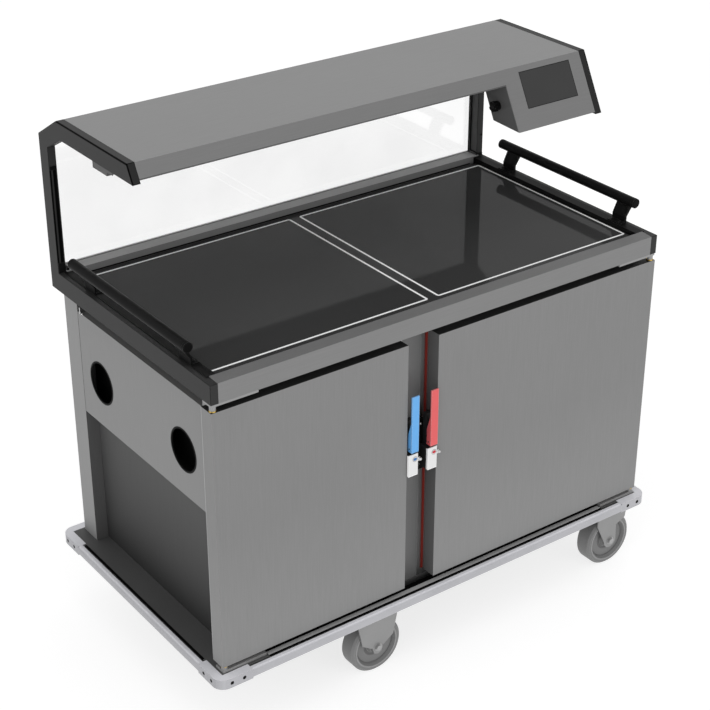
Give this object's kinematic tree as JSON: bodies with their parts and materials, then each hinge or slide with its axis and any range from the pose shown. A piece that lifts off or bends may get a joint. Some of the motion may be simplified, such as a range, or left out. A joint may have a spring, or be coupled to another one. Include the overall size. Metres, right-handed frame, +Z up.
{
  "type": "meal delivery trolley",
  "caption": "Meal delivery trolley with hinged insulated cabinet doors, a heated glass worktop, a lit canopy with a control box, push handles, a bumper and casters.",
  "frame": {"origin": "on the floor, under the middle of the bumper", "axes": "+X to the right as seen from the doors, +Y to the back, +Z up"},
  "size_m": [1.456, 0.828, 1.467],
  "materials": {
    "dark_frame": "dark grey powder coat on aluminium",
    "grey_panel": "mid grey satin powder coat",
    "canopy_grey": "mid grey satin powder coat on aluminium",
    "liner_steel": "fine brushed stainless steel",
    "base_grey": "grey satin",
    "bumper": "light grey, hard plastic",
    "black_metal": "black satin",
    "black_plastic": "black, fine texture",
    "screw_black": "black",
    "steel": "zinc plated, satin",
    "post_steel": "brushed stainless steel",
    "brass": "polished",
    "ceramic_glass": "black glass ceramic, glossy",
    "clear_glass": "clear safety glass",
    "lamp_glass": "frosted quartz",
    "display_glass": "black, glossy",
    "mat": "silicone heating mat",
    "cold_plate": "pale blue, matte",
    "seal_dark": "black",
    "seal_red": "dark red",
    "lever_blue": "blue, satin",
    "lever_red": "red, satin",
    "latch_plate": "satin stainless steel",
    "caster_grey": "light grey, satin",
    "wheel_grey": "grey elastic tread and wheel centre"
  },
  "bodies": {
    "chassis": {"base_plate": "base_grey", "bumper_corners": "bumper", "bumper_rails": "bumper", "cover_screws": "screw_black", "cold_cabinet": "grey_panel", "cold_liner": "liner_steel", "hot_cabinet": "grey_panel", "hot_liner": "liner_steel", "corner_posts": "grey_panel", "left_side_panel": "grey_panel", "right_side_panel": "grey_panel", "rear_panel": "grey_panel", "centre_post": "post_steel", "latch_strike": "black_plastic", "side_frame_left": "dark_frame", "side_frame_right": "dark_frame", "canopy_shell": "canopy_grey", "canopy_lining": "canopy_grey", "heat_lamps": "lamp_glass", "lamp_housings": "dark_frame", "control_box": "dark_frame", "display_panel": "display_glass", "glass_screen": "clear_glass", "screen_tracks": "black_plastic", "front_fascia": "grey_panel", "rear_rail": "grey_panel", "side_rails": "black_metal", "glass_top": "ceramic_glass", "heating_mats": "mat", "handle_bars": "black_metal", "handle_brackets": "black_metal", "hinge_brackets": "steel", "hinge_pins": "steel", "hinge_bushes": "brass", "tray_runners": "liner_steel", "cold_plate": "cold_plate", "hot_element": "steel", "power_inlet": "black_plastic", "fixed_forks": "caster_grey", "swivel_plates": "caster_grey", "fixed_axles": "steel"},
    "cold_door": {"cold_door_shell": "grey_panel", "cold_door_liner": "liner_steel", "cold_door_seal": "seal_dark", "cold_latch_body": "latch_plate"},
    "hot_door": {"hot_door_shell": "grey_panel", "hot_door_liner": "liner_steel", "hot_door_seal": "seal_red", "hot_latch_body": "latch_plate"},
    "cold_latch": {"cold_latch_lever": "lever_blue"},
    "hot_latch": {"hot_latch_lever": "lever_red"},
    "knob": {"control_knob": "black_plastic"},
    "fixed_wheel_front": {"fixed_wheel_front": "wheel_grey"},
    "fixed_wheel_rear": {"fixed_wheel_rear": "wheel_grey"},
    "swivel_fork_front": {"swivel_fork_front": "caster_grey", "swivel_axle_front": "steel"},
    "swivel_fork_rear": {"swivel_fork_rear": "caster_grey", "swivel_axle_rear": "steel"},
    "swivel_wheel_front": {"swivel_wheel_front": "wheel_grey"},
    "swivel_wheel_rear": {"swivel_wheel_rear": "wheel_grey"}
  },
  "joints": [
    {"name": "cold_door_hinge", "type": "hinge", "parent": "chassis", "child": "cold_door", "pos_m": [-0.69, -0.378, 0.606], "axis": [0, 0, 1], "range_deg": [-255, 0]},
    {"name": "hot_door_hinge", "type": "hinge", "parent": "chassis", "child": "hot_door", "pos_m": [0.69, -0.378, 0.606], "axis": [0, 0, 1], "range_deg": [0, 255]},
    {"name": "cold_latch_pivot", "type": "hinge", "parent": "cold_door", "child": "cold_latch", "pos_m": [-0.11775, -0.388, 0.67], "axis": [1, 0, 0], "range_deg": [0, 50]},
    {"name": "hot_latch_pivot", "type": "hinge", "parent": "hot_door", "child": "hot_latch", "pos_m": [-0.05675, -0.388, 0.67], "axis": [1, 0, 0], "range_deg": [0, 50]},
    {"name": "knob_turn", "type": "hinge", "parent": "chassis", "child": "knob", "pos_m": [0.401, -0.055, 1.368], "axis": [1, 0, 0], "range_deg": [0, 270]},
    {"name": "fixed_wheel_front_spin", "type": "hinge", "parent": "chassis", "child": "fixed_wheel_front", "pos_m": [-0.213, -0.343, 0.08], "axis": [0, 1, 0], "continuous": true},
    {"name": "fixed_wheel_rear_spin", "type": "hinge", "parent": "chassis", "child": "fixed_wheel_rear", "pos_m": [-0.213, 0.343, 0.08], "axis": [0, 1, 0], "continuous": true},
    {"name": "front_swivel", "type": "hinge", "parent": "chassis", "child": "swivel_fork_front", "pos_m": [0.651, -0.343, 0.18], "axis": [0, 0, 1], "continuous": true},
    {"name": "rear_swivel", "type": "hinge", "parent": "chassis", "child": "swivel_fork_rear", "pos_m": [0.651, 0.343, 0.18], "axis": [0, 0, 1], "continuous": true},
    {"name": "swivel_wheel_front_spin", "type": "hinge", "parent": "swivel_fork_front", "child": "swivel_wheel_front", "pos_m": [0.632, -0.343, 0.08], "axis": [0, 1, 0], "continuous": true},
    {"name": "swivel_wheel_rear_spin", "type": "hinge", "parent": "swivel_fork_rear", "child": "swivel_wheel_rear", "pos_m": [0.632, 0.343, 0.08], "axis": [0, 1, 0], "continuous": true}
  ]
}
